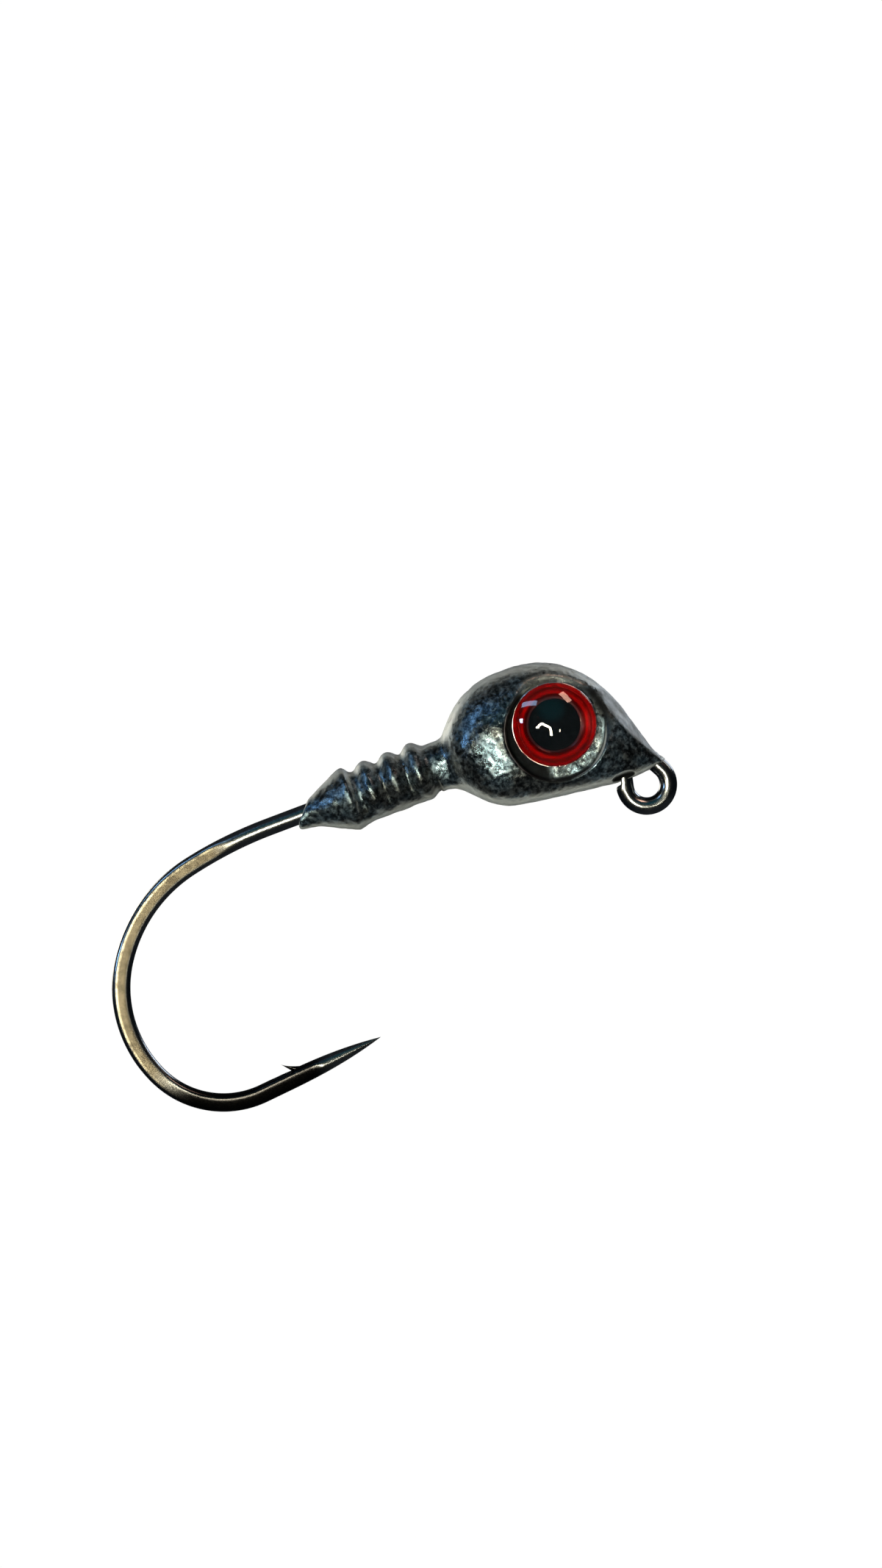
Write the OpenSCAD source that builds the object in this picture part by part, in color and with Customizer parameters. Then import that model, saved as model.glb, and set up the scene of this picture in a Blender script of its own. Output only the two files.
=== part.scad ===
// Jig head: a forged hook cast into a lead head, with a domed eye glued to each side.
// Origin: centre of the line-tie ring. +X runs along the shank towards the nose,
// +Z is up from the point to the shank, and Y runs across the head.

/* [Hook wire] */
// Diameter of the round wire
wire_d = 1.06; // [0.9:0.02:1.3]
// Bore of the line-tie ring
ring_bore = 1.6; // [1.4:0.1:2]
// How far the ring's inner crest is flattened into a round land
ring_land = 0.02; // [0.01:0.01:0.04]
// Angle round the ring at which the stem leaves it
stem_angle = 28; // [24:1:34]
// Radius of the wire's bend inside the head
stem_bend_r = 2; // [1.6:0.1:2.4]
// Height of the shank's axis above the line tie
shank_h = 5.65; // [5.2:0.05:6.8]

/* [Hook bend] */
// Distance from the line tie back to the start of the bend
bend_start = 22.2; // [21.6:0.1:28]
// Thickness across the forged flats of the bend
forged_t = 0.86; // [0.7:0.02:0.88]
// Height of the forged wire in the plane of the hook
forged_h = 1.12; // [1.06:0.02:1.2]
// Radius of the slow sweep below the shank
sweep_r = 25.5; // [20:0.5:32]
// Turn of the slow sweep
sweep_turn = 12; // [8:1:16]
// Radius of the back of the bend
back_r = 9.1; // [7.5:0.1:11]
// Turn of the back of the bend
back_turn = 44.5; // [38:0.5:50]
// Radius of the middle of the bend
belly_r = 7.45; // [6.2:0.05:9]
// Turn of the middle of the bend
belly_turn = 58.5; // [50:0.5:64]
// Radius of the heel, where the bend meets the point
heel_r = 5.6; // [4.6:0.1:6.8]
// Rise of the point towards the shank
point_rise = 5; // [0:1:10]

/* [Point and barb] */
// Length of the straight leg from the heel to the tip
point_l = 7.85; // [6.5:0.05:9.5]
// Length of the ground taper at the tip
taper_l = 6.5; // [5.2:0.1:7.2]
// Distance from the tip back to the root of the barb
barb_back = 5.6; // [5:0.1:6]
// Length of the barb
barb_l = 0.95; // [0.7:0.05:1.2]
// Angle between the barb and the leg
barb_angle = 36; // [30:1:42]
// Width of the barb across the wire
barb_w = 0.34; // [0.25:0.01:0.45]

/* [Bait collar] */
// How far the collar's axis lies below the wire's axis
collar_drop = 0.15; // [0:0.01:0.2]
// Distance from the line tie back to the collar's tip
collar_tip = 20.6; // [20.4:0.1:21.4]
// Distance from the line tie back to the cone's shoulder
shoulder_back = 16.95; // [16.8:0.05:18]
// Diameter of the cone's shoulder
shoulder_d = 3.74; // [3.5:0.02:4.4]
// Wall of lead round the wire at the collar's tip
tip_wall = 0.1; // [0.08:0.01:0.2]
// Diameter over the three ribs
rib_d = 3.52; // [3.3:0.02:3.9]
// Distance from the line tie back to the first rib
rib_back = 12.6; // [12.4:0.05:12.8]
// Spacing of the ribs
rib_pitch = 1.5; // [1.4:0.02:1.6]
// Radius of each rib's rounded crest
rib_round = 0.4; // [0.3:0.02:0.46]
// Diameter of the core between the ribs
core_d = 2.84; // [2.6:0.02:3]
// Diameter of the neck
neck_d = 2.88; // [2.6:0.02:3.2]

/* [Head] */
// Distance from the line tie back to the end of the neck
neck_back = 11.3; // [11:0.05:11.5]
// Distance from the line tie back to the crown
crown_back = 6; // [5.6:0.1:6.4]
// Height of the crown above the shank's axis
crown_rise = 3.83; // [3.4:0.01:4.6]
// Depth of the belly below the shank's axis
belly_drop = 4.19; // [3.9:0.01:4.3]
// Width across the head
head_w = 6.6; // [6.2:0.1:7.92]
// Width across the nose
nose_w = 2; // [1.8:0.1:2.2]

/* [Eyes] */
// Diameter of an eye
eye_d = 5; // [4.1:0.1:5.4]
// Diameter of the black pupil
pupil_d = 2.8; // [2.4:0.1:3.4]
// Distance from the line tie back to the eye's centre
eye_back = 4; // [3.6:0.05:4.4]
// Height of the eye's centre below the shank's axis
eye_drop = 0.33; // [0.1:0.01:0.6]
// Gap between the eye's edge and the wall of its seat
eye_gap = 0.1; // [0.05:0.01:0.2]
// Distance between the floors of the two seats
seat_span = 4.1; // [3.8:0.1:4.4]
// Depth of the round seat below the dish
seat_depth = 0.35; // [0.2:0.05:0.6]
// Radius of the dish's rounded wall
dish_round = 0.9; // [0.6:0.05:1.1]
// Thickness of the glue pad
glue_t = 0.12; // [0.08:0.01:0.2]
// Thickness of the foil
foil_t = 0.06; // [0.04:0.01:0.1]
// Thickness of the printed films
film_t = 0.04; // [0.03:0.01:0.06]
// Height of the lens's upright edge
lens_edge = 0.3; // [0.2:0.05:0.5]
// Height of the dome above the lens's edge
dome_h = 0.95; // [0.6:0.05:1.2]

/* [Hidden] */
$fn = 64;
// How much wider than the wire a section is drawn
$grow = 0;
coupling_grow = 0.012;
coupling_l = 0.1;
seam = 0.01;

// The ring: its wire centre's radius, and the point and heading of the stem as it leaves
ring_r = ring_bore / 2 - ring_land + wire_d / 2;
stem_foot = ring_r * [cos(stem_angle), sin(stem_angle)];
stem_heading = 90 + stem_angle;
stem_rise = shank_h - stem_foot[1] - stem_bend_r * (1 + cos(stem_heading));
stem_l = stem_rise / sin(stem_heading);
shank_front = stem_foot[0] + stem_l * cos(stem_heading) - stem_bend_r * sin(stem_heading);
// The ring's cut end stops this far short of the stem's side
end_gap = 0.02;
ring_turn = 360 - acos(1 - (wire_d + end_gap) / ring_r);

// The heel closes what is left of the half turn and the point's rise
heel_turn = 180 + point_rise - sweep_turn - back_turn - belly_turn;
// Power of the point's rounded taper
taper_power = 2.4;
// Depth of the cut that raises the barb
barb_cut = 0.1;
barb_edge = 0.05;

collar_h = shank_h - collar_drop;
collar_tip_r = collar_drop + wire_d / 2 + tip_wall;
shoulder_round = 0.3;
// Slant of the collar's open end, and the slow flare behind it
mouth_slant = 36;
tip_flare = 0.14;
tip_l = 0.9;
mouth_l = 6;

// Where the chisel's cut starts, and how it slopes up to the leg's own surface
cut_slope = 4;
// How far the barb's front edge runs along the leg, as a share of its length
barb_front = 0.6;
// Corner of the cone before the shoulder's rounding, and the drop behind it, in shoulder rounds
shoulder_in = 0.45;
shoulder_lead = 0.85;
shoulder_drop = 0.9;

// Nose of the head, over the stem
nose_x = ring_r;
nose_over_ring = 0.15;
nose_t = 0.25;
nose_low = ring_bore / 2 + nose_over_ring;
nose_high = nose_low + nose_t;
crown_h = shank_h + crown_rise;
belly_h = shank_h - belly_drop;

seat_y = seat_span / 2;
eye_h = shank_h - eye_drop;
film_y = seat_y + glue_t + foil_t;
lens_y = film_y + film_t;

lead = [0.33, 0.36, 0.4];
black_nickel = [0.25, 0.23, 0.22];
iris_red = [0.62, 0.03, 0.04];

// Places the children at [x, z] in the hook's plane, with +X along the heading
module in_plane(p, heading) {
    translate([p[0], 0, p[1]])
        rotate([0, -heading, 0])
            children();
}

// The wire is drawn in lengths, each joined to the next by a short coupling. A coupling is
// barely wider than the wire, and the lengths stop just short of each other inside it.
module coupling() {
    rotate([90, 0, 90])
        linear_extrude(height = coupling_l, center = true) {
            $grow = coupling_grow;
            children();
        }
}

// A straight length from the origin along +X; the 2D child is its section, with X across
// the plane of the hook, and child 1 is what follows
module wire_straight(l) {
    translate([seam, 0, 0])
        rotate([90, 0, 90])
            linear_extrude(height = l - 2 * seam)
                children(0);
    translate([l, 0, 0]) {
        coupling()
            children(0);
        children(1);
    }
}

// An arc from the origin along +X that turns to the left, drawn in the same way
module wire_arc(r, turn) {
    trim = seam / r * 180 / PI;
    translate([0, 0, r])
        rotate([90, 0, 0])
            rotate([0, 0, trim - 90])
                rotate_extrude(angle = turn - 2 * trim, $fn = 128)
                    translate([r, 0])
                        children(0);
    translate([r * sin(turn), 0, r * (1 - cos(turn))])
        rotate([0, -turn, 0]) {
            coupling()
                children(0);
            children(1);
        }
}

module round_section() {
    circle(d = wire_d + $grow);
}

// The forged section: a round wire pressed between two flat dies
module forged_section() {
    intersection() {
        circle(d = forged_h + $grow);
        square([2 * forged_h, forged_t + $grow], center = true);
    }
}

// The ground point: a rounded taper along +X that ends in the tip
module ground_point() {
    steps = 12;
    translate([seam, 0, 0])
        rotate([0, 90, 0])
            cylinder(h = point_l - taper_l - seam, d = forged_h);
    translate([point_l, 0, 0])
        rotate([0, -90, 0])
            rotate_extrude()
                polygon(concat(
                    [for (i = [0 : steps])
                        [forged_h / 2 * (1 - pow(1 - i / steps, taper_power)), taper_l * i / steps]],
                    [[0, taper_l]]));
}

// The barb: a sliver raised from the inner side of the leg, pointing back at the bend
module barb() {
    translate([point_l - barb_back, barb_w / 2, forged_h / 2 - barb_cut])
        rotate([90, 0, 0])
            linear_extrude(height = barb_w)
                polygon([[0, -barb_edge],
                         [barb_l * cos(180 - barb_angle), barb_l * sin(barb_angle)],
                         [barb_front * barb_l, 0],
                         [barb_front * barb_l, -2 * barb_edge]]);
}

module point_leg() {
    difference() {
        ground_point();
        // The chisel's cut behind the barb
        translate([point_l - barb_back, 0, forged_h / 2 - barb_cut])
            rotate([0, cut_slope, 0])
                translate([-point_l, -forged_h, 0])
                    cube([point_l, 2 * forged_h, forged_h]);
    }
    barb();
}

// The ring's section: round, with its inner crest flattened into the land
module ring_section() {
    intersection() {
        circle(d = wire_d);
        translate([ring_bore / 2 - ring_r, -wire_d])
            square(2 * wire_d);
    }
}

// The ring, wound back to its own stem, the stem, the bend up to the shank's axis and the
// shank; the children follow at its end
module line_tie_wire() {
    rotate([90, 0, 0])
        rotate([0, 0, stem_angle - ring_turn])
            rotate_extrude(angle = ring_turn - seam / ring_r * 180 / PI, $fn = 128)
                translate([ring_r, 0])
                    ring_section();
    in_plane(stem_foot, stem_heading) {
        coupling()
            round_section();
        wire_straight(stem_l) {
            round_section();
            wire_arc(stem_bend_r, 180 - stem_heading) {
                round_section();
                wire_straight(bend_start + shank_front) {
                    round_section();
                    children();
                }
            }
        }
    }
}

module hook() {
    color(black_nickel)
        line_tie_wire()
            wire_arc(sweep_r, sweep_turn) {
                round_section();
                wire_arc(back_r, back_turn) {
                    forged_section();
                    wire_arc(belly_r, belly_turn) {
                        forged_section();
                        wire_arc(heel_r, heel_turn) {
                            forged_section();
                            point_leg();
                        }
                    }
                }
            }
}

// A smooth curve between two knots [x, z, angle], as a cubic with handles along the angles
function knot_handle(a, b, ang) = 0.38 * norm([b[0] - a[0], b[1] - a[1]]) * [cos(ang), sin(ang)];
function smooth(a, b, t) =
    let (p0 = [a[0], a[1]], p3 = [b[0], b[1]],
         p1 = p0 + knot_handle(a, b, a[2]), p2 = p3 - knot_handle(a, b, b[2]), u = 1 - t)
    u * u * u * p0 + 3 * u * u * t * p1 + 3 * u * t * t * p2 + t * t * t * p3;

// How far the head's first section lies inside the neck's skin
neck_lap = 0.1;
// The flare behind the crown: its place along the shank, and its share of each full size
flare_l = 1.3;
flare_up = 0.52;
flare_down = 0.65;
flare_out = 0.62;
// The belly's lowest run, and the chin that ends it over the ring
belly_back = 7;
chin_back = 2;
chin_h = nose_low - 0.16;
// The brow over the eye's front: its place, its drop from the crown, and its share of the width
brow_back = 1.5;
brow_down = 0.43;
brow_out = 0.86;

// The head's knots: neck, flare, crown, brow and nose, on top, underneath and across
top_knots = [
    [-neck_back, collar_h + neck_d / 2 - neck_lap, 0],
    [-neck_back + flare_l, shank_h + flare_up * crown_rise, 50],
    [-crown_back, crown_h, 0],
    [-brow_back, crown_h - brow_down * crown_rise, -46],
    [nose_x, nose_high, -69]];
low_knots = [
    [-neck_back - neck_lap, collar_h - neck_d / 2 - neck_lap, 0],
    [-neck_back + flare_l, shank_h - flare_down * belly_drop, -50],
    [-belly_back, belly_h, -8],
    [-chin_back, chin_h, -6],
    [nose_x, nose_low, 10]];
side_knots = [
    [0, neck_d / 2 - neck_lap, 0],
    [1, flare_out * head_w / 2, 40],
    [2, head_w / 2, 0],
    [3, brow_out * head_w / 2, -24],
    [4, nose_w / 2, -12]];

section_points = 32;
section_steps = 6;
// How square the sections are: 1 is an ellipse
section_square = 0.8;

function bulge(c) = sign(c) * pow(abs(c), section_square);
function head_section(k, t) =
    let (top = smooth(top_knots[k], top_knots[k + 1], t),
         low = smooth(low_knots[k], low_knots[k + 1], t),
         half = smooth(side_knots[k], side_knots[k + 1], t)[1],
         mid = (top + low) / 2, reach = (top - low) / 2)
    [for (i = [0 : section_points - 1])
        let (a = 360 * i / section_points)
        [mid[0] + reach[0] * bulge(cos(a)), half * bulge(sin(a)), mid[1] + reach[1] * bulge(cos(a))]];

module head_blank() {
    last = len(top_knots) - 2;
    rings = concat(
        [for (k = [0 : last], j = [0 : section_steps - 1]) head_section(k, j / section_steps)],
        [head_section(last, 1)]);
    n = section_points;
    rows = len(rings);
    polyhedron(
        points = [for (r = rings, p = r) p],
        faces = concat(
            [[for (i = [n - 1 : -1 : 0]) i]],
            [for (r = [0 : rows - 2], i = [0 : n - 1])
                [r * n + i, (r + 1) * n + (i + 1) % n, (r + 1) * n + i]],
            [for (r = [0 : rows - 2], i = [0 : n - 1])
                [r * n + i, r * n + (i + 1) % n, (r + 1) * n + (i + 1) % n]],
            [[for (i = [0 : n - 1]) (rows - 1) * n + i]]));
}

// Half of the collar's outline: along its axis from the line tie back, by radius
module collar_outline() {
    // The cone, and the rounded shoulder that holds the bait
    polygon([[0, neck_back - 1],
             [0, collar_tip],
             [collar_tip_r - tip_flare, collar_tip],
             [collar_tip_r, collar_tip - tip_l],
             [shoulder_d / 2 - shoulder_in * shoulder_round, shoulder_back + shoulder_lead * shoulder_round],
             [shoulder_d / 2 - shoulder_round, shoulder_back],
             [shoulder_d / 2 - shoulder_round, shoulder_back - shoulder_drop * shoulder_round],
             [core_d / 2, shoulder_back - 2 * shoulder_round],
             [core_d / 2, rib_back],
             [neck_d / 2, rib_back - 2 * rib_round],
             [neck_d / 2, neck_back - 1]]);
    translate([shoulder_d / 2 - shoulder_round, shoulder_back])
        circle(r = shoulder_round);
    for (i = [0 : 2])
        translate([rib_d / 2 - rib_round, rib_back + i * rib_pitch])
            circle(r = rib_round);
}

module bait_collar() {
    translate([0, 0, collar_h])
        rotate([0, -90, 0])
            rotate_extrude()
                collar_outline();
}

// An eye's seat: a round pocket with an upright wall, under a dish with a rounded wall
module eye_seat() {
    seat_d = eye_d + 2 * eye_gap;
    cylinder(h = seat_depth, d = seat_d);
    translate([0, 0, seat_depth])
        rotate_extrude()
            difference() {
                square([seat_d / 2 + dish_round, head_w]);
                translate([seat_d / 2 + dish_round, 0])
                    circle(r = dish_round);
            }
}

// Places the children on the seat at the right (-1) or left (+1) side, with +Z facing out
module at_eye(side) {
    translate([-eye_back, 0, eye_h])
        rotate([-side * 90, 0, 0])
            children();
}

module head_casting() {
    color(lead)
        difference() {
            union() {
                head_blank();
                bait_collar();
            }
            line_tie_wire();
            for (side = [-1, 1])
                at_eye(side)
                    translate([0, 0, seat_y])
                        eye_seat();
            // The mould's pin keeps the line tie open
            rotate([90, 0, 0])
                cylinder(h = 2 * head_w, d = ring_bore, center = true);
            // The collar's open end is cut on a slant
            translate([-collar_tip, 0, collar_h - collar_tip_r])
                rotate([0, mouth_slant, 0])
                    translate([-mouth_l, -mouth_l / 2, 0])
                        cube(mouth_l);
        }
}

module eye_glue_pad(side) {
    color("white")
        at_eye(side)
            translate([0, 0, seat_y])
                cylinder(h = glue_t, d = eye_d);
}

module eye_foil(side) {
    color("silver")
        at_eye(side)
            translate([0, 0, seat_y + glue_t])
                cylinder(h = foil_t, d = eye_d);
}

module eye_iris(side) {
    color(iris_red)
        at_eye(side)
            translate([0, 0, film_y])
                difference() {
                    cylinder(h = film_t, d = eye_d);
                    translate([0, 0, -film_t])
                        cylinder(h = 3 * film_t, d = pupil_d);
                }
}

module eye_pupil(side) {
    color("black")
        at_eye(side)
            translate([0, 0, film_y])
                cylinder(h = film_t, d = pupil_d);
}

// The lens: an upright edge with a spherical dome on it
module eye_lens(side) {
    dome_r = (pow(eye_d / 2, 2) + pow(dome_h, 2)) / (2 * dome_h);
    color([0.9, 0.92, 0.95, 0.3])
        at_eye(side)
            translate([0, 0, lens_y])
                intersection() {
                    cylinder(h = lens_edge + dome_h, d = eye_d);
                    translate([0, 0, lens_edge + dome_h - dome_r])
                        sphere(r = dome_r, $fn = 96);
                }
}

head_casting();
hook();
eye_glue_pad(1);  // left_eye_glue_pad
eye_foil(1);  // left_eye_foil
eye_iris(1);  // left_eye_iris
eye_pupil(1);  // left_eye_pupil
eye_lens(1);  // left_eye_lens
eye_glue_pad(-1);  // right_eye_glue_pad
eye_foil(-1);  // right_eye_foil
eye_iris(-1);  // right_eye_iris
eye_pupil(-1);  // right_eye_pupil
eye_lens(-1);  // right_eye_lens
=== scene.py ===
import math

import bpy
import numpy as np
from mathutils import Matrix, Vector


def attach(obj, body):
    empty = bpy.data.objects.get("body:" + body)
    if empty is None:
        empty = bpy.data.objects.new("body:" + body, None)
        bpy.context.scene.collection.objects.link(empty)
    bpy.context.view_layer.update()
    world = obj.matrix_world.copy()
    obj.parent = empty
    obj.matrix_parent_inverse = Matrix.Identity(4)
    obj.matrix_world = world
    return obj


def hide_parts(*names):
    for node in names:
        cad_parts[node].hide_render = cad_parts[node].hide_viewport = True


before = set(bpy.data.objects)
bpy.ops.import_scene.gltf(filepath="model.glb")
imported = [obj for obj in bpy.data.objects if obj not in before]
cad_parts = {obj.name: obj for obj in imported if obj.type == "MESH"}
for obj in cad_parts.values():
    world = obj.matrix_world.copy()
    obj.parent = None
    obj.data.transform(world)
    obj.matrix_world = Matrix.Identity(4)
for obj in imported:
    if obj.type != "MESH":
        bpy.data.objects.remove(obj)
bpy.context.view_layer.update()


# ---- The hook ----
# One length of round spring-steel wire: wound into the line tie, bent up into the shank,
# swept round the bend, pressed flat there between two dies, ground to a needle point with
# a barb raised by a chisel, then plated in black nickel. The head is cast round it.
MM = 0.001
TO_MM = (1000, 1000, 1000)

wire_r = 0.53
ring_r = 1.31
ring_end_angle = 167
ring_end_l = 1.15
stem_angle = 28
stem_l = 4.5
stem_bend_r = 2.0
shank_l = 19.48
# The bend: radius and turn of the sweep, the back, the middle and the heel
bend = [(25.5, 12.0), (9.1, 44.5), (7.45, 58.5), (5.6, 70.0)]
point_l = 7.85
taper_l = 6.5
taper_power = 2.4
# The pressed flats lean downward by this much, from the heel on
flat_lean = 15
forged_r = 0.56
forged_half = 0.43
# The flats start this far into the bend, and are ground away this far from the tip
flat_start = 2.6
flat_end = 4.6
flat_fade = 1.3
flat_run_out = 1.6
# Half the height of the flat face across the wire, where its corner starts and ends
flat_corner = (0.25, 0.37)
# The narrow painted highlight line on the near flat: its height and its width
glint_at = -0.26
glint_w = 0.05
# The ring's cut end: how deep the cutters nip it, and how far the wire swells beside the nip
nip_depth = 0.34
nip_swell = 0.035
barb_back = 5.55
barb_cut = 0.11
barb_cut_l = 2.6
barb_rise = 5
barb_half_w = 0.25
# How far the barb's point stands from the leg, and how far it reaches back
barb_out = 1.12
barb_reach = 0.62
barb_rings = 14
barb_sides = 16
wire_sides = 48

nickel_black = "#808588"
nickel_edge = "#43474f"
flat_bronze = "#3b3830"
flat_shade = "#2a2721"
# Colour of the painted highlight line on the near flat
flat_glint_colour = "#9b9684"
# Colour of the painted shade on the leg's leaning flats and the barb
leg_shade_black = "#1d1d1e"


def linear(code):
    """An sRGB hex colour as the linear colour that a shader takes."""
    parts = [int(code[i:i + 2], 16) / 255 for i in (1, 3, 5)]
    return [p / 12.92 if p <= 0.04045 else ((p + 0.055) / 1.055) ** 2.4 for p in parts] + [1.0]


def add(tree, kind, inputs=None, **settings):
    """Adds a node to a tree, with its settings, and its inputs as values or as links."""
    made = tree.nodes.new(kind)
    for name, value in settings.items():
        setattr(made, name, value)
    for name, value in (inputs or {}).items():
        if isinstance(value, bpy.types.NodeSocket):
            tree.links.new(value, made.inputs[name])
        else:
            made.inputs[name].default_value = value
    return made


def ease(low, high, x):
    """A smooth step from 0 at low to 1 at high."""
    t = np.clip((np.asarray(x, float) - low) / (high - low), 0, 1)
    return t * t * (3 - 2 * t)


def shaded(name, points, faces, material):
    """Makes a smooth-shaded object from points in metres."""
    mesh = bpy.data.meshes.new(name)
    mesh.from_pydata(np.asarray(points).tolist(), [], [list(map(int, f)) for f in faces])
    mesh.update()
    mesh.polygons.foreach_set("use_smooth", [True] * len(mesh.polygons))
    mesh.materials.append(material)
    made = bpy.data.objects.new(name, mesh)
    bpy.context.scene.collection.objects.link(made)
    return made


def piece(name, points, faces, material, stands_for, marks=None):
    """Makes a piece from points in millimetres, facing outwards and riding on the one body."""
    points = np.asarray(points, float)
    corners = np.array([(f[0], f[k], f[k + 1]) for f in faces for k in range(1, len(f) - 1)])
    a, b, c = points[corners[:, 0]], points[corners[:, 1]], points[corners[:, 2]]
    if np.einsum("ij,ij->", a, np.cross(b, c)) < 0:
        faces = [f[::-1] for f in faces]
    made = shaded(name, points * MM, faces, material)
    for mark, values in (marks or {}).items():
        layer = made.data.attributes.new(mark, "FLOAT", "POINT")
        layer.data.foreach_set("value", np.asarray(values, np.float32))
    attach(made, "root")
    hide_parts(stands_for)
    return made


def joined(rings, sides, first=0):
    """The quads that join rings of points, each ring to the next."""
    return [(first + k * sides + i, first + k * sides + (i + 1) % sides,
             first + (k + 1) * sides + (i + 1) % sides, first + (k + 1) * sides + i)
            for k in range(rings - 1) for i in range(sides)]


def route(start, heading, runs, step):
    """Rows of x, z, heading and length along the wire; each run is (radius or 0, turn or length)."""
    x, z = start
    length = 0.0
    rows = [(x, z, heading, length)]
    for radius, amount in runs:
        run_l = math.radians(amount) * radius if radius else amount
        count = max(2, int(math.ceil(run_l / step)))
        for _ in range(count):
            bite = run_l / count
            swing = bite / radius if radius else 0.0
            middle = heading + swing / 2
            chord = 2 * radius * math.sin(swing / 2) if radius else bite
            x += chord * math.cos(middle)
            z += chord * math.sin(middle)
            heading += swing
            length += bite
            rows.append((x, z, heading, length))
    return np.array(rows)


def barb_mesh(tip, first):
    """The barb: a curled sliver, thick at its root and drawn to a point."""
    rise = math.radians(barb_rise)
    along = np.array([math.cos(rise), math.sin(rise)])
    root = np.array([tip[0], tip[1]]) - along * barb_back
    inner = np.array([-along[1], along[0]])
    points = []
    for k in range(barb_rings):
        t = k / barb_rings
        back = root + inner * (0.24 + 0.88 * t) - along * (0.02 + 0.60 * t)
        front = (root + along * (0.95 * (1 - t) ** 1.4 - barb_reach * t)
                 + inner * (0.40 + 0.72 * t ** 1.35))
        middle, reach = (back + front) / 2, (front - back) / 2
        half = barb_half_w * (1 - t) ** 0.6
        for a in np.linspace(0, 2 * math.pi, barb_sides, endpoint=False):
            c, w = math.cos(a), math.sin(a)
            p = middle + reach * c
            points.append((p[0], half * w * abs(w) ** 0.3, p[1]))
    end = root + inner * barb_out - along * barb_reach
    points.append((end[0], 0, end[1]))
    faces = joined(barb_rings, barb_sides, first)
    last = first + (barb_rings - 1) * barb_sides
    faces += [(last + i, last + (i + 1) % barb_sides, first + barb_rings * barb_sides)
              for i in range(barb_sides)]
    faces += [tuple(first + i for i in range(barb_sides - 1, -1, -1))]
    return points, faces


def hook_mesh():
    """The wire from the ring's cut end to the tip, with marks for its flats, for the painted shade on
    the leg's leaning flats and the barb, and for a painted highlight line on the near flat.
    """
    turn = math.radians(ring_end_angle)
    heading = turn + math.pi / 2
    start = (ring_r * math.cos(turn) - ring_end_l * math.cos(heading),
             ring_r * math.sin(turn) - ring_end_l * math.sin(heading))
    ring_turn = 360 + stem_angle - ring_end_angle
    runs = [(0, ring_end_l), (ring_r, ring_turn), (0, stem_l),
            (stem_bend_r, 90 - stem_angle), (0, shank_l)] + bend + [(0, point_l)]
    rows = route(start, heading, runs, 0.1)
    total = rows[-1, 3]
    bend_at = total - point_l - sum(r * math.radians(t) for r, t in bend)
    angles = np.linspace(0, 2 * math.pi, wire_sides, endpoint=False)
    lean_from, lean_to = total - point_l - 7.5, total - point_l - 4.0
    points, flats, burnt, glint_line = [], [], [], []
    for x, z, heading, s in rows[:-1]:
        forged = float(ease(bend_at + flat_start - flat_fade, bend_at + flat_start + flat_fade, s))
        forged *= float(1 - ease(total - flat_end, total - flat_end + flat_run_out, s))
        radius = wire_r + (forged_r - wire_r) * float(ease(bend_at, bend_at + 6, s))
        left = (total - s) / taper_l
        if left < 1:
            radius *= 1 - (1 - left) ** taper_power
        across = radius * np.sin(angles)
        up = radius * np.cos(angles)
        limit = forged_half / max(forged, 1e-3)
        across = across / (1 + (np.abs(across) / limit) ** 6) ** (1 / 6)
        # The chisel's cut lowers the inner side of the leg behind the barb
        behind = (total - barb_back) - s
        if 0 <= behind <= barb_cut_l:
            ceiling = radius - barb_cut * (1 - behind / barb_cut_l) * float(ease(0, 0.05, behind))
            up = np.minimum(up, ceiling)
        # The ring's cut end is nipped on its outer side
        if s < ring_end_l + 0.9:
            nip = float(ease(0.32, 0.52, z))
            lowest = -radius + nip * nip_depth
            swell = nip_swell * float(ease(-0.1, 0.2, z)) * (1 - nip)
            up = np.where(up < 0, np.maximum(up - swell, lowest), up)
        height = up
        pressed = 1 - ease(*flat_corner, np.abs(height))
        lean = math.radians(flat_lean) * float(ease(lean_from, lean_to, s))
        up, across = (up * math.cos(lean) + across * math.sin(lean),
                      across * math.cos(lean) - up * math.sin(lean))
        normal = np.array([-math.sin(heading), 0, math.cos(heading)])
        ring = np.array([x, 0, z]) + up[:, None] * normal + np.outer(across, [0, 1, 0])
        points.append(ring)
        bronze = float(1 - ease(lean_from - 0.1, lean_to, s))
        flats.append(forged * bronze * pressed)
        # Painted shade: where the flats lean down along the leg, they are painted near black
        burnt.append(forged * (1 - bronze) * np.ones(wire_sides))
        # A painted highlight line along the near flat only
        glint_band = np.exp(-((height - glint_at) / glint_w) ** 2)
        glint_line.append(forged * bronze * glint_band * (across < 0))
    count = len(points)
    tip = rows[-1]
    points = np.vstack(points + [[[tip[0], 0, tip[1]]], [[rows[0, 0], 0, rows[0, 1]]]])
    flats, burnt, glint_line = (np.concatenate(mark + [[0, 0]]) for mark in (flats, burnt, glint_line))
    n = wire_sides
    faces = joined(count, n)
    last = (count - 1) * n
    faces += [(last + i, last + (i + 1) % n, count * n) for i in range(n)]
    faces += [((i + 1) % n, i, count * n + 1) for i in range(n)]
    barb_points, barb_faces = barb_mesh(tip, len(points))
    points = np.vstack([points, barb_points])
    faces += barb_faces
    plain_barb = np.zeros(len(barb_points))
    flats = np.concatenate([flats, plain_barb])
    glint_line = np.concatenate([glint_line, plain_barb])
    # The barb is painted near black too, as painted shade
    burnt = np.concatenate([burnt, plain_barb + 1])
    return points, faces, {"flat": flats, "burnt": burnt, "burnished": glint_line}


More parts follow.
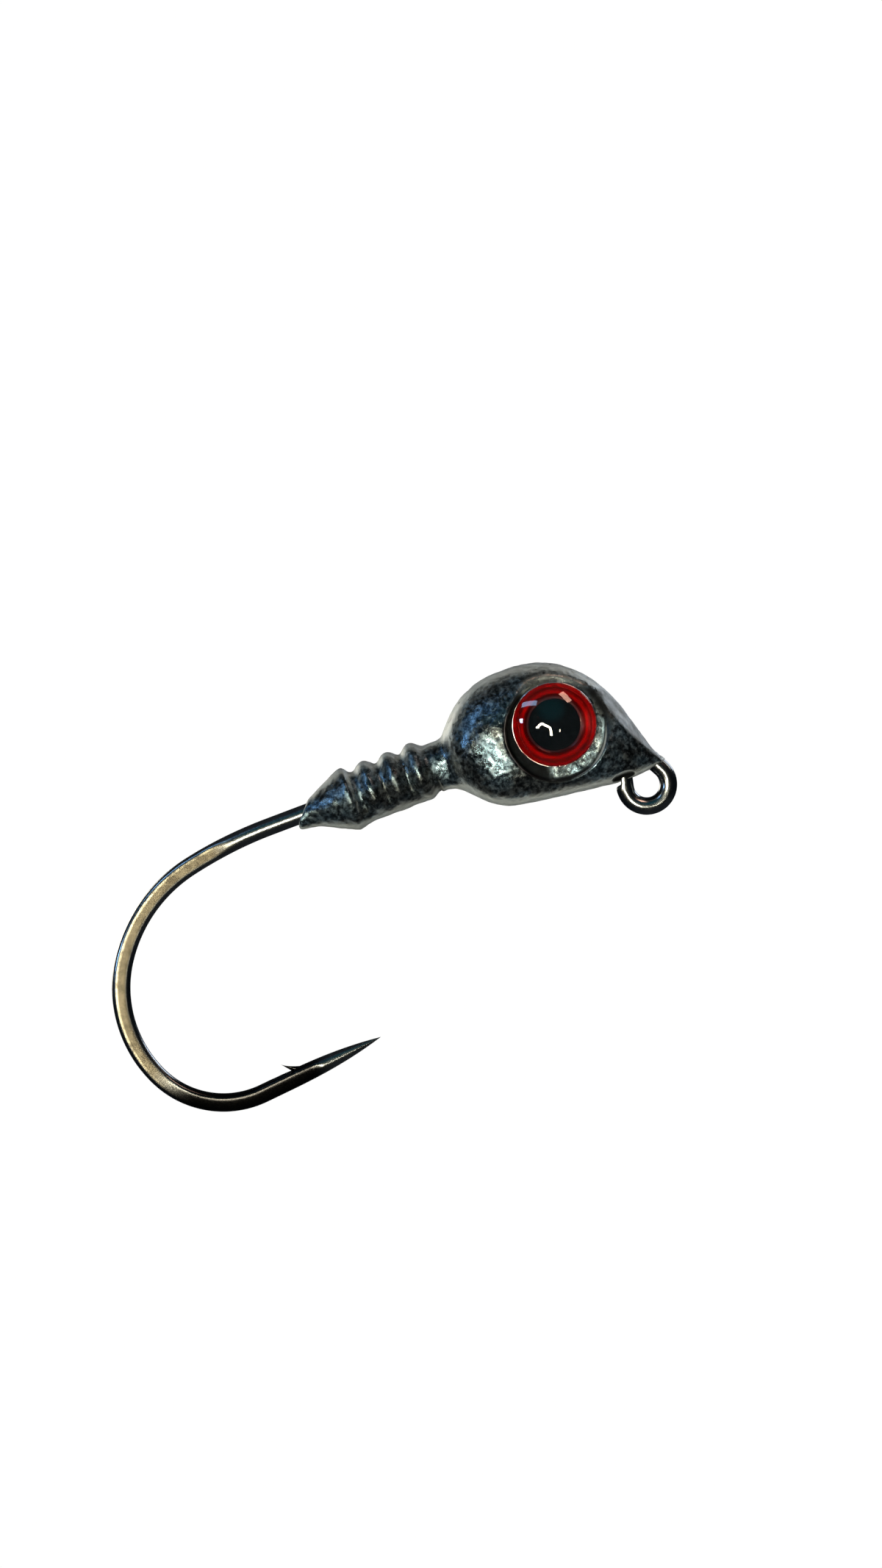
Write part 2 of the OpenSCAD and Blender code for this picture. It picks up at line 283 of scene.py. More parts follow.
def black_nickel():
    """Black nickel over drawn steel: near-black and glossy where round, satin bronze where the dies
    pressed it flat, with a mottled plate and a fine grit in its gloss. The leaning flats of the leg and
    the barb are painted near black as shade, and a painted highlight line runs along the near flat."""
    made = bpy.data.materials.new("black_nickel_plated_steel")
    made.use_nodes = True
    tree = made.node_tree
    shader = tree.nodes["Principled BSDF"]
    place = add(tree, "ShaderNodeTexCoord").outputs["Object"]
    mm = add(tree, "ShaderNodeVectorMath", {0: place, 1: TO_MM},
             operation="MULTIPLY").outputs[0]
    flat = add(tree, "ShaderNodeAttribute", attribute_name="flat").outputs["Fac"]
    # Plating mottles in patches of about 0.6 mm. Its real grit, about 0.02 mm, is drawn at 0.1 mm
    mottle = add(tree, "ShaderNodeTexNoise", {"Vector": mm, "Scale": 1.6, "Detail": 5.0,
                                             "Roughness": 0.65}).outputs["Fac"]
    grit = add(tree, "ShaderNodeTexNoise", {"Vector": mm, "Scale": 9.0, "Detail": 4.0,
                                           "Roughness": 0.7}).outputs["Fac"]
    worn = add(tree, "ShaderNodeMapRange", {0: mottle, 1: 0.4, 2: 0.6, 3: 0.15, 4: 1.0}).outputs[0]
    satin = add(tree, "ShaderNodeMix", {0: worn, 6: linear(flat_shade), 7: linear(flat_bronze)},
                data_type="RGBA").outputs[2]
    # A painted highlight line along the near flat, broken up by the mottle
    glint_line = add(tree, "ShaderNodeAttribute", attribute_name="burnished").outputs["Fac"]
    glint_line = add(tree, "ShaderNodeMath", {0: glint_line, 1: worn}, operation="MULTIPLY").outputs[0]
    satin = add(tree, "ShaderNodeMix", {0: glint_line, 6: satin, 7: linear(flat_glint_colour)},
                data_type="RGBA").outputs[2]
    dark = add(tree, "ShaderNodeMix", {0: mottle, 6: linear(nickel_edge), 7: linear(nickel_black)},
               data_type="RGBA").outputs[2]
    # Painted shade: near black on the leg's leaning flats and on the barb
    burnt = add(tree, "ShaderNodeAttribute", attribute_name="burnt").outputs["Fac"]
    dark = add(tree, "ShaderNodeMix", {0: burnt, 6: dark, 7: linear(leg_shade_black)},
               data_type="RGBA").outputs[2]
    tone = add(tree, "ShaderNodeMix", {0: flat, 6: dark, 7: satin}, data_type="RGBA").outputs[2]
    tree.links.new(tone, shader.inputs["Base Color"])
    shader.inputs["Metallic"].default_value = 1.0
    wear = add(tree, "ShaderNodeMapRange", {0: grit, 1: 0.3, 2: 0.7, 3: 0.15, 4: 0.24}).outputs[0]
    rough = add(tree, "ShaderNodeMix", {0: flat, 2: wear, 3: 0.4}).outputs[0]
    tree.links.new(rough, shader.inputs["Roughness"])
    bump = add(tree, "ShaderNodeBump", {"Height": grit, "Strength": 0.16, "Distance": 0.00002})
    tree.links.new(bump.outputs[0], shader.inputs["Normal"])
    return made


wire_points, wire_faces, wire_marks = hook_mesh()
piece("forged_hook", wire_points, wire_faces, black_nickel(), "hook", wire_marks)


# ---- The lead casting ----
# Head and bait collar are one gravity casting in lead, poured round the hook in a two-part
# mould: a round crown, a flat each side of the snout, a pocket for each eye, and a ribbed
# collar with a cone behind. Tumbled, then left to dull to a blue-grey oxide.
collar_axis = 5.5
neck_r = 1.43
rib_r = 1.78
core_r = 1.33
first_rib = -12.6
rib_pitch = 1.5
shoulder_x = -16.95
shoulder_r = 1.87
# Knots as x, value and slope angle: the crown line, the belly line and the half width
crown_line = [(-11.3, 6.84, 0), (-10, 7.64, 50), (-6, 9.48, 0), (-1.5, 7.83, -46),
              (1.31, 1.2, -69)]
belly_line = [(-11.45, 3.96, 0), (-9.8, 2.93, -50), (-7, 1.46, -8), (-2, 0.79, -6),
              (1.31, 0.95, 10)]
side_line = [(-11.3, 1.34, 0), (-10, 2.3, 44), (-6, 3.3, 0), (-1.5, 2.84, -24),
             (1.31, 1.0, -36)]
eye_x, eye_z = -4.0, 5.32
seat_y = 2.05
# The round pocket: x, z and radius, and how far its wall opens outwards, more so at the brow
pocket = (-4.03, 4.96, 2.95)
pocket_draft = 0.12
brow_draft = 0.45
# Where the head's skin ends in the neck, and the collar's ends
neck_end = -11.6
collar_front = -9.0
collar_back = -20.75
# The cone as x and radius, from its open end to the shoulder
cone_line = [(-20.7, 0.62), (-19.7, 0.78), (-19.25, 0.90), (shoulder_x - 0.35, shoulder_r - 0.03),
             (shoulder_x - 0.05, shoulder_r + 0.09)]
# The softening of the cast edges takes this much off a rib's crest
crest_loss = 0.09
last_rib_back = -16.35
core_behind_from = -16.3
core_behind_r = 1.46
# The collar's radius along its underside, where the grooves fill, and its growth at the shoulder
under_r = 1.73
under_growth = 0.15
# The open end is cut through this x and z, along this slant, and squared off behind
mouth_at = (-20.1, 5.57)
mouth_face = (-0.751, 0.661)
mouth_end = -20.47
# The web of lead over the stem, and the hollow beside the ring's cut end
web_top = (0.25, 0, 1.9)
web_foot = (1.12, 0, 0.85)
web_r = 0.52
hollow_at = (-1.18, 1.75, 0.80)
hollow_size = (0.80, 1.25, 0.40)
parting_h = 0.035
parting_w = 0.085

# Patterns per millimetre: clouds about 2 mm across, duller patches about 0.7 mm and pits about
# 1 mm apart. The oxide's real grain is some 0.05 mm, and is drawn at 0.3 mm so that it shows.
clouds_per_mm = 0.55
dull_per_mm = 1.5
pits_per_mm = 1.15
grain_per_mm = 3.6

lead_dark = "#272c2f"
lead_blue = "#34444f"
lead_pale = "#abb2b0"
lead_painted_shade = "#0e1114"


def line_of(knots, samples=40):
    """Samples a smooth line through knots of x, value and slope angle."""
    xs, values = [], []
    for (x0, v0, a0), (x1, v1, a1) in zip(knots, knots[1:]):
        reach = 0.38 * math.hypot(x1 - x0, v1 - v0)
        a0, a1 = math.radians(a0), math.radians(a1)
        hx = (x0, x0 + reach * math.cos(a0), x1 - reach * math.cos(a1), x1)
        hv = (v0, v0 + reach * math.sin(a0), v1 - reach * math.sin(a1), v1)
        t = np.linspace(0, 1, samples)
        weights = ((1 - t) ** 3, 3 * (1 - t) ** 2 * t, 3 * (1 - t) * t ** 2, t ** 3)
        xs.append(sum(w * h for w, h in zip(weights, hx)))
        values.append(sum(w * h for w, h in zip(weights, hv)))
    return np.concatenate(xs), np.concatenate(values)


crown = line_of(crown_line)
belly = line_of(belly_line)
flank = line_of(side_line)


def soft_max(a, b, k):
    """The larger of two fields, rounded where they meet within k."""
    h = np.maximum(k - np.abs(a - b), 0) / k
    return np.maximum(a, b) + h * h * k / 4


def soft_min(a, b, k):
    """The smaller of two fields, rounded where they meet within k."""
    return -soft_max(-a, -b, k)


def head_level(x, y, z):
    """1 on the head's skin, less inside: squarer below than above."""
    top = np.interp(x, *crown)
    low = np.interp(x, *belly)
    half = np.interp(x, *flank)
    reach = np.maximum((top - low) / 2, 0.05)
    v = (z - (top + low) / 2) / reach
    low_half = ease(0.1, -0.6, v)
    p = 2.4 + 0.7 * low_half
    q = 2.0 + 0.8 * low_half
    return (np.abs(y / half) ** p + np.abs(v) ** q) ** (2 / (p + q))


def head_skin(x, y, z):
    """Roughly the distance to the head's skin, in millimetres."""
    e = 0.01
    f = head_level(x, y, z)
    gx = (head_level(x + e, y, z) - f) / e
    gy = (head_level(x, y + e, z) - f) / e
    gz = (head_level(x, y, z + e) - f) / e
    d = (f - 1) / np.maximum(np.sqrt(gx * gx + gy * gy + gz * gz), 0.12)
    d = soft_max(d, x - ring_r, 0.1)
    return np.maximum(d, neck_end - x)


def collar_profile():
    """The collar's radius along X: cone, shoulder, three ribs and neck, with cast edges."""
    x = np.linspace(-22, -8, 1401)
    cone = np.interp(x, *zip(*cone_line))
    cone = np.where(x > shoulder_x + 0.22, 0, cone)
    ribs = np.zeros_like(x)
    for k in range(3):
        off = (x - (first_rib - k * rib_pitch)) / (rib_pitch / 2)
        crest = np.cos(np.clip(off, -1, 1) * math.pi / 2) ** 1.2
        ribs = np.maximum(ribs, core_r + (rib_r + crest_loss - core_r) * crest)
    ribs = np.where((x < last_rib_back) | (x > first_rib + rib_pitch / 2), 0, ribs)
    core = np.where(x > first_rib, neck_r, core_r)
    core = np.where(x < core_behind_from, core_behind_r, core)
    core = np.where(x < shoulder_x, 0, core)
    r = np.maximum(np.maximum(cone, ribs), core)
    # Cast edges are never sharp: a bell 0.8 mm wide softens the profile
    width = 20
    bell = np.exp(-np.linspace(-2, 2, 4 * width + 1) ** 2)
    padded = np.pad(r, 2 * width, mode="edge")
    return x, np.convolve(padded, bell / bell.sum(), "valid")


collar = collar_profile()


def collar_skin(x, y, z):
    """Roughly the distance to the collar's skin, in millimetres."""
    r = np.interp(x, *collar)
    slope = (np.interp(x + 0.02, *collar) - np.interp(x - 0.02, *collar)) / 0.04
    off = np.sqrt(y * y + (z - collar_axis) ** 2)
    # The grooves run out towards the underside, where the ribs merge
    under = ease(0.40, 0.92, (collar_axis - z) / np.maximum(off, 0.3))
    ribbed = ease(-17.1, -16.85, x) * (1 - ease(-12.9, -11.5, x))
    full = under_r + under_growth * ease(-15.9, shoulder_x, x)
    r = r + (full - r) * under * ribbed * 0.95
    d = (off - r) / np.sqrt(1 + slope * slope * (1 - under * ribbed * 0.9))
    return np.maximum(np.maximum(d, x - collar_front), collar_back - x)


def bar(x, y, z, a, b, r):
    """Distance to a round bar between two points."""
    a, b = np.array(a, float), np.array(b, float)
    d = b - a
    t = np.clip(((x - a[0]) * d[0] + (y - a[1]) * d[1] + (z - a[2]) * d[2]) / (d @ d), 0, 1)
    return np.sqrt((x - a[0] - t * d[0]) ** 2 + (y - a[1] - t * d[1]) ** 2
                   + (z - a[2] - t * d[2]) ** 2) - r


def skin_y(x, z):
    """How far out the head's skin is at a place on its side."""
    low, high = 0.0, 4.0
    for _ in range(40):
        middle = (low + high) / 2
        if float(head_level(x, middle, z)) < 1:
            low = middle
        else:
            high = middle
    return low


# The mould leaves a flat up each side of the snout, from over the ring to the brow
flat_top = np.array([-0.82, 0, 6.05])
flat_foot = np.array([1.17, 0, 1.25])
flat_top[1] = skin_y(flat_top[0], flat_top[2])
flat_foot[1] = skin_y(flat_foot[0], flat_foot[2])
flat_run = (flat_foot - flat_top) / np.linalg.norm(flat_foot - flat_top)
flat_face = np.array([0.925 * 0.88, 0.47, 0.381 * 0.88])
flat_face -= flat_run * (flat_face @ flat_run)
flat_face /= np.linalg.norm(flat_face)


def snout_flat(x, y, z):
    """How far outside the flat a place is, on either side of the snout."""
    return ((x - flat_top[0]) * flat_face[0] + (np.abs(y) - flat_top[1]) * flat_face[1]
            + (z - flat_top[2]) * flat_face[2])


def casting(x, y, z):
    """The casting's skin in millimetres: negative inside the lead, positive outside."""
    head = head_skin(x, y, z)
    near_front = ease(-2.2, -1.4, x)
    clear = 3 * (1 - near_front) + 1.5 * ease(5.9, 7.4, z)
    head = np.where(near_front > 0, soft_max(head, snout_flat(x, y, z) - clear, 0.05), head)
    lead = soft_min(head, collar_skin(x, y, z), 0.12)
    # A web of lead runs down over the stem at the nose, and round the ring's cut end
    web = bar(x, y, z, web_foot, web_top, web_r)
    web = soft_max(web, 1.0 - z - 0.1 * (1.3 - x), 0.12)
    lead = soft_min(lead, web, 0.25)
    # The hollow that the mould leaves beside the ring's cut end
    offs = (x - hollow_at[0], np.abs(y) - hollow_at[1], z - hollow_at[2])
    hollow = np.sqrt(sum((off / size) ** 2 for off, size in zip(offs, hollow_size))) - 1
    hollow = hollow * hollow_size[2]
    lead = soft_max(lead, -hollow, 0.08)
    # The pockets for the eyes
    round_off = np.sqrt((x - pocket[0]) ** 2 + (z - pocket[1]) ** 2) - pocket[2]
    brow = ease(-6.0, -4.2, x) * ease(6.3, 7.3, z)
    draft = pocket_draft + brow_draft * brow
    room = soft_max(round_off - draft * (np.abs(y) - seat_y), seat_y - np.abs(y), 0.15)
    cheek = ease(-4.5, -1.5, x) * ease(2.6, 4.4, z)
    lead = soft_max(lead, -room, 0.15 + 0.6 * np.maximum(cheek, 0.6 * brow))
    # The collar's open end is cut on a slant
    mouth = mouth_face[0] * (x - mouth_at[0]) + mouth_face[1] * (z - mouth_at[1])
    lead = soft_max(soft_max(lead, mouth, 0.1), mouth_end - x, 0.2)
    # The mould's parting line
    return lead - parting_h * np.exp(-(y / parting_w) ** 2) * ease(0.9, 0.5, x)


rng = np.random.default_rng(7)


def ripple(points, wave, count):
    """Smooth random unevenness with about this wavelength, from -1 to 1."""
    total = np.zeros(len(points))
    for _ in range(count):
        way = rng.normal(size=3)
        way *= 2 * math.pi / wave * rng.uniform(0.7, 1.5) / np.linalg.norm(way)
        total += np.cos(points @ way + rng.uniform(0, 2 * math.pi))
    return total / math.sqrt(count)


def skin_mesh(field, low, high, step):
    """Meshes a field's zero level: one point in each cell that it crosses, joined by quads."""
    axes = [np.arange(a, b + step, step) for a, b in zip(low, high)]
    values = np.stack([field(*np.meshgrid([x], axes[1], axes[2], indexing="ij"))[0]
                       for x in axes[0]])
    inside = values < 0
    shape = np.array(values.shape)
    cells = shape - 1
    total = np.zeros((*cells, 3))
    hits = np.zeros(tuple(cells))
    crossings = []
    grid = np.stack(np.meshgrid(*[np.arange(s) for s in shape], indexing="ij"), -1)
    for axis in range(3):
        first = [slice(None)] * 3
        second = [slice(None)] * 3
        first[axis] = slice(0, -1)
        second[axis] = slice(1, None)
        f0, f1 = values[tuple(first)], values[tuple(second)]
        where = np.argwhere(inside[tuple(first)] != inside[tuple(second)])
        a = f0[tuple(where.T)]
        b = f1[tuple(where.T)]
        spot = where.astype(float)
        spot[:, axis] += a / (a - b)
        others = [i for i in range(3) if i != axis]
        for du in (0, 1):
            for dv in (0, 1):
                cell = where.copy()
                cell[:, others[0]] -= du
                cell[:, others[1]] -= dv
                ok = np.all((cell >= 0) & (cell < cells), axis=1)
                np.add.at(total, tuple(cell[ok].T), spot[ok])
                np.add.at(hits, tuple(cell[ok].T), 1)
        crossings.append((axis, others, where, a < 0))
    active = hits > 0
    index = np.full(tuple(cells), -1)
    index[active] = np.arange(active.sum())
    points = total[active] / hits[active][:, None]
    points = np.array([ax[0] for ax in axes]) + points * step
    faces = []
    for axis, (u, v), where, outward in crossings:
        ok = (where[:, u] > 0) & (where[:, v] > 0) & (where[:, u] < cells[u]) & (where[:, v] < cells[v])
        where, outward = where[ok], outward[ok]
        corner = []
        for du, dv in ((0, 0), (1, 0), (1, 1), (0, 1)):
            cell = where.copy()
            cell[:, u] -= du
            cell[:, v] -= dv
            corner.append(index[tuple(cell.T)])
        quad = np.stack(corner, 1)
        flip = outward if axis != 1 else ~outward
        quad[~flip] = quad[~flip][:, ::-1]
        faces.append(quad)
    return points, np.vstack(faces)


def settle(points, field, rounds):
    """Moves points onto a field's zero level, and gives the normals there."""
    e = 0.01
    for _ in range(rounds):
        x, y, z = points.T
        f = field(x, y, z)
        grad = np.stack([field(x + e, y, z) - field(x - e, y, z),
                         field(x, y + e, z) - field(x, y - e, z),
                         field(x, y, z + e) - field(x, y, z - e)], 1) / (2 * e)
        size = np.maximum((grad ** 2).sum(1), 0.2)
        points = points - np.clip(f / size, -0.05, 0.05)[:, None] * grad
    return points, grad / np.maximum(np.linalg.norm(grad, axis=1), 1e-6)[:, None]


def lead_oxide():
    """Dull cast lead: a dark blue-grey metal with a mottled pale oxide, a painted pale sheen where the
    eye meets it edge on, painted shade in the hollows, and small gas pits with painted shade inside."""
    made = bpy.data.materials.new("cast_lead_oxidised")
    made.use_nodes = True
    tree = made.node_tree
    shader = tree.nodes["Principled BSDF"]
    place = add(tree, "ShaderNodeTexCoord").outputs["Object"]
    mm = add(tree, "ShaderNodeVectorMath", {0: place, 1: TO_MM},
             operation="MULTIPLY").outputs[0]
    clouds = add(tree, "ShaderNodeTexNoise", {"Vector": mm, "Scale": clouds_per_mm,
                                             "Detail": 4.0, "Roughness": 0.6}).outputs["Fac"]
    grain = add(tree, "ShaderNodeTexNoise", {"Vector": mm, "Scale": grain_per_mm,
                                            "Detail": 6.0, "Roughness": 0.72}).outputs["Fac"]
    hollow = add(tree, "ShaderNodeAttribute", attribute_name="hollow").outputs["Fac"]
    # A painted pale sheen on the pocket's lip over the brow
    scraped = add(tree, "ShaderNodeAttribute", attribute_name="scraped").outputs["Fac"]
    # Painted sheen: the colour goes pale where the surface is seen edge on, in place of a reflection of
    # the bright surroundings. The dust grain adds a real pale oxide all over.
    edge = add(tree, "ShaderNodeLayerWeight", {"Blend": 0.5}).outputs["Facing"]
    edge = add(tree, "ShaderNodeMapRange", {0: edge, 1: 0.26, 2: 0.66, 3: 0.0, 4: 0.6},
               interpolation_type="SMOOTHSTEP").outputs[0]
    dust = add(tree, "ShaderNodeMapRange", {0: grain, 1: 0.46, 2: 0.68, 3: 0.0, 4: 0.13}).outputs[0]
    edge = add(tree, "ShaderNodeMath", {0: edge, 1: dust}, operation="ADD").outputs[0]
    patch = add(tree, "ShaderNodeMapRange", {0: clouds, 1: 0.42, 2: 0.62, 3: 0.0, 4: 1.0}).outputs[0]
    tone = add(tree, "ShaderNodeMix", {0: patch, 6: linear(lead_dark), 7: linear(lead_blue)},
               data_type="RGBA").outputs[2]
    speck = add(tree, "ShaderNodeMapRange", {0: grain, 1: 0.42, 2: 0.60, 3: 0.35, 4: 2.0}).outputs[0]
    tone = add(tree, "ShaderNodeMix", {0: 1.0, 6: tone, 7: speck}, data_type="RGBA",
               blend_type="MULTIPLY").outputs[2]
    # Painted shade: where the hollow mark is set, the pale oxide and sheen are taken away
    unshaded = add(tree, "ShaderNodeMath", {0: 1.0, 1: hollow}, operation="SUBTRACT").outputs[0]
    bloom_and_sheen = add(tree, "ShaderNodeMath", {0: edge, 1: scraped}, operation="MAXIMUM").outputs[0]
    bloom_and_sheen = add(tree, "ShaderNodeMath", {0: bloom_and_sheen, 1: unshaded}, operation="MULTIPLY").outputs[0]
    # The pale oxide and the painted sheen turn the colour towards pale lead
    tone = add(tree, "ShaderNodeMix", {0: bloom_and_sheen, 6: tone, 7: linear(lead_pale)},
               data_type="RGBA").outputs[2]
    # Gas pits: a few pinholes, with painted shade inside
    cells = add(tree, "ShaderNodeTexVoronoi", {"Vector": mm, "Scale": pits_per_mm})
    few = add(tree, "ShaderNodeSeparateColor", {0: cells.outputs["Color"]}).outputs[0]
    few = add(tree, "ShaderNodeMath", {0: few, 1: 0.55}, operation="GREATER_THAN").outputs[0]
    pit = add(tree, "ShaderNodeMapRange", {0: cells.outputs["Distance"], 1: 0.07, 2: 0.13, 3: 1.0,
                                          4: 0.0}).outputs[0]
    pit = add(tree, "ShaderNodeMath", {0: pit, 1: few}, operation="MULTIPLY").outputs[0]
    hollow = add(tree, "ShaderNodeMath", {0: hollow, 1: pit}, operation="MAXIMUM").outputs[0]
    # Painted shade: hollows and pits are painted near black
    tone = add(tree, "ShaderNodeMix", {0: hollow, 6: tone, 7: linear(lead_painted_shade)},
               data_type="RGBA").outputs[2]
    tree.links.new(tone, shader.inputs["Base Color"])
    metal = add(tree, "ShaderNodeMapRange", {0: bloom_and_sheen, 1: 0.0, 2: 1.0, 3: 0.92, 4: 0.25}).outputs[0]
    tree.links.new(metal, shader.inputs["Metallic"])
    rough = add(tree, "ShaderNodeMapRange", {0: grain, 1: 0.3, 2: 0.7, 3: 0.06, 4: 0.14}).outputs[0]
    # Handling leaves duller patches, which break up a highlight
    dull = add(tree, "ShaderNodeTexNoise", {"Vector": mm, "Scale": dull_per_mm,
                                           "Detail": 3.0}).outputs["Fac"]
    dull = add(tree, "ShaderNodeMapRange", {0: dull, 1: 0.49, 2: 0.56, 3: 0.0, 4: 0.22}).outputs[0]
    rough = add(tree, "ShaderNodeMath", {0: rough, 1: dull}, operation="ADD").outputs[0]
    rough = add(tree, "ShaderNodeMix", {0: bloom_and_sheen, 2: rough, 3: 0.7}).outputs[0]
    rough = add(tree, "ShaderNodeMix", {0: hollow, 2: rough, 3: 0.85}).outputs[0]
    tree.links.new(rough, shader.inputs["Roughness"])
    relief = add(tree, "ShaderNodeMath", {0: grain, 1: pit}, operation="SUBTRACT").outputs[0]
    fine = add(tree, "ShaderNodeBump", {"Height": relief, "Strength": 0.32, "Distance": 0.00007})
    tree.links.new(fine.outputs[0], shader.inputs["Normal"])
    return made


mesh_step = 0.075
lead_points, lead_faces = skin_mesh(casting, (-20.9, -3.5, 0.45), (1.85, 3.5, 9.7), mesh_step)
lead_points, lead_out = settle(lead_points, casting, 4)
uneven = 0.014 * ripple(lead_points, 1.5, 28) + 0.006 * ripple(lead_points, 0.45, 28)
lead_points = lead_points + lead_out * uneven[:, None]
# Painted shade: where a point 0.22 mm out along the normal is closer than that to the lead, the place
# is in a hollow and is painted darker
probe = 0.22
outer = lead_points + lead_out * probe
shade = np.clip((probe - casting(*outer.T)) / probe * 2.4 - 0.3, 0, 1)
# On the collar the painted shade in the grooves is cut back, and a light painted shade is laid over all
# of it
on_collar = ease(-11.0, -11.8, lead_points[:, 0])
shade = shade * (1 - 0.7 * on_collar) + 0.1 * on_collar
# Painted shade: the pocket is painted dark behind the eye and in the crease below it. Its lip over the
# brow has no painted shade, and gets a painted pale sheen instead.
spot_x, spot_y, spot_z = lead_points.T
round_eye = np.hypot(spot_x - pocket[0], spot_z - pocket[1])
deep = ease(pocket[2] + 0.3, pocket[2] + 0.1, round_eye) * ease(1.6, 1.8, np.abs(spot_y))
deep *= ease(3.2, 2.8, np.abs(spot_y) + 0.5 * ease(-5.5, -3.5, spot_x))
rear = ease(-4.9, -5.5, spot_x)
crease = ease(2.4, 2.15, spot_z) * ease(2.72, 2.86, round_eye)
lip = ease(-6.0, -4.4, spot_x) * ease(6.6, 7.2, spot_z)
lip = lip * ease(3.75, 3.45, round_eye) * ease(1.4, 1.7, np.abs(spot_y))
shade = np.maximum(shade * (1 - lip), 0.95 * deep * np.maximum(rear, crease))
# The snout's flat is painted a little darker too, as painted shade
flat_near = np.exp(-(snout_flat(*lead_points.T) / 0.05) ** 2) * ease(-1.5, -0.9, spot_x)
# The lip over the brow gets a painted pale sheen
piece("lead_casting", lead_points, lead_faces, lead_oxide(), "head_casting",
      {"hollow": np.maximum(shade, 0.4 * flat_near), "scraped": 0.2 * lip})


# ---- The eyes ----
# Each eye is a domed sticker: a glue pad, a pressed foil, a red printed iris and a black
# printed pupil, under a drop of clear resin. It is glued into its pocket by hand.
eye_r = 2.5
pupil_r = 1.4
glue_top = 0.12
foil_top = 0.18
film_top = 0.22
lens_edge = 0.52
dome_h = 0.95
dish_h = 0.13

glue_milk = "#c9c4b2"
glue_shade = "#a39c86"
foil_silver = "#c9cdd0"
foil_shade = "#b3b8bd"
iris_ink = "#560001"
# Colours of the painted shade by the pupil and of the painted highlight rings
iris_painted_shade = "#1a0001"
iris_painted_glint = "#a00003"
pupil_ink = "#020304"
pupil_worn = "#06090b"
resin_clear = "#ffffff"
# Painted rings over the pressed foil as radius, half width and colour: two painted highlight rings, and
# a painted dark ring at the step between
painted_foil_rings = [(1.84, 0.16, iris_painted_glint), (2.1, 0.07, iris_painted_shade), (2.33, 0.12, iris_painted_glint)]


def turned(profile, side, segments=96):
    """Turns a profile of radius and height over the pocket's floor round the eye's axis."""
    profile = np.array(profile, float)
    angles = np.linspace(0, 2 * math.pi, segments, endpoint=False)
    rows = []
    for r, h in profile:
        rows.append(np.stack([eye_x + r * np.cos(angles), np.full(segments, side * (seat_y + h)),
                              eye_z + r * np.sin(angles)], 1))
    faces = joined(len(profile), segments)
    return np.vstack(rows), faces if side > 0 else [f[::-1] for f in faces]


def closed_turning(profile, side, segments=96):
    """As turned, for a profile that starts and ends by the axis, with a cap on each end."""
    points, faces = turned(profile, side, segments)
    first = list(range(segments))
    last = [(len(profile) - 1) * segments + i for i in first]
    if side > 0:
        return points, faces + [first[::-1], last]
    return points, faces + [first, last[::-1]]


def iris_lift(r):
    """The foil is pressed into a shallow dish, with a fine ring near its edge."""
    rise = dish_h * ease(pupil_r, 2.2, r) + 0.17 * ease(2.15, eye_r, r)
    return float(rise + 0.03 * math.exp(-((r - 2.17) / 0.05) ** 2))


def plain(name, code, metallic, roughness, **more):
    """A material of one colour; more takes the names of other sockets, with _ for a space."""
    made = bpy.data.materials.new(name)
    made.use_nodes = True
    shader = made.node_tree.nodes["Principled BSDF"]
    shader.inputs["Base Color"].default_value = linear(code)
    shader.inputs["Metallic"].default_value = metallic
    shader.inputs["Roughness"].default_value = roughness
    for key, value in more.items():
        shader.inputs[key.replace("_", " ")].default_value = value
    return made


def iris_print():
    """Translucent red ink on metallised foil, painted deep near the pupil as shade and brighter
    outside, with painted highlight rings.
    """
    made = plain("red_ink_on_foil", iris_ink, 0.72, 0.3, Coat_Weight=0.3, Coat_Roughness=0.1,
                 Specular_IOR_Level=0.0)
    tree = made.node_tree
    shader = tree.nodes["Principled BSDF"]
    place = add(tree, "ShaderNodeTexCoord").outputs["Object"]
    off = add(tree, "ShaderNodeVectorMath", {0: place, 1: (-eye_x * MM, 0, -eye_z * MM)},
              operation="ADD").outputs[0]
    flat = add(tree, "ShaderNodeVectorMath", {0: off, 1: (1000, 0, 1000)},
               operation="MULTIPLY").outputs[0]
    r = add(tree, "ShaderNodeVectorMath", {0: flat}, operation="LENGTH").outputs["Value"]
    out = add(tree, "ShaderNodeMapRange", {0: r, 1: pupil_r, 2: pupil_r + 0.55, 3: 0.0, 4: 1.0},
              interpolation_type="SMOOTHSTEP").outputs[0]
    grain = add(tree, "ShaderNodeTexNoise", {"Vector": flat, "Scale": 6.0,
                                            "Detail": 3.0}).outputs["Fac"]
    # Painted shade: the ink darkens towards the pupil
    tone = add(tree, "ShaderNodeMix", {0: out, 6: linear(iris_painted_shade), 7: linear(iris_ink)},
               data_type="RGBA").outputs[2]
    # Painted highlight rings, with a painted dark ring between them, over the pressed foil
    for ring_at, wide, code in painted_foil_rings:
        gap = add(tree, "ShaderNodeMath", {0: r, 1: ring_at}, operation="SUBTRACT").outputs[0]
        gap = add(tree, "ShaderNodeMath", {0: gap}, operation="ABSOLUTE").outputs[0]
        band = add(tree, "ShaderNodeMapRange", {0: gap, 1: 0.0, 2: wide, 3: 0.55, 4: 0.0},
                   interpolation_type="SMOOTHSTEP").outputs[0]
        tone = add(tree, "ShaderNodeMix", {0: band, 6: tone, 7: linear(code)},
                   data_type="RGBA").outputs[2]
    tree.links.new(tone, shader.inputs["Base Color"])
    rough = add(tree, "ShaderNodeMapRange", {0: grain, 1: 0.3, 2: 0.7, 3: 0.1, 4: 0.16}).outputs[0]
    tree.links.new(rough, shader.inputs["Roughness"])
    return made


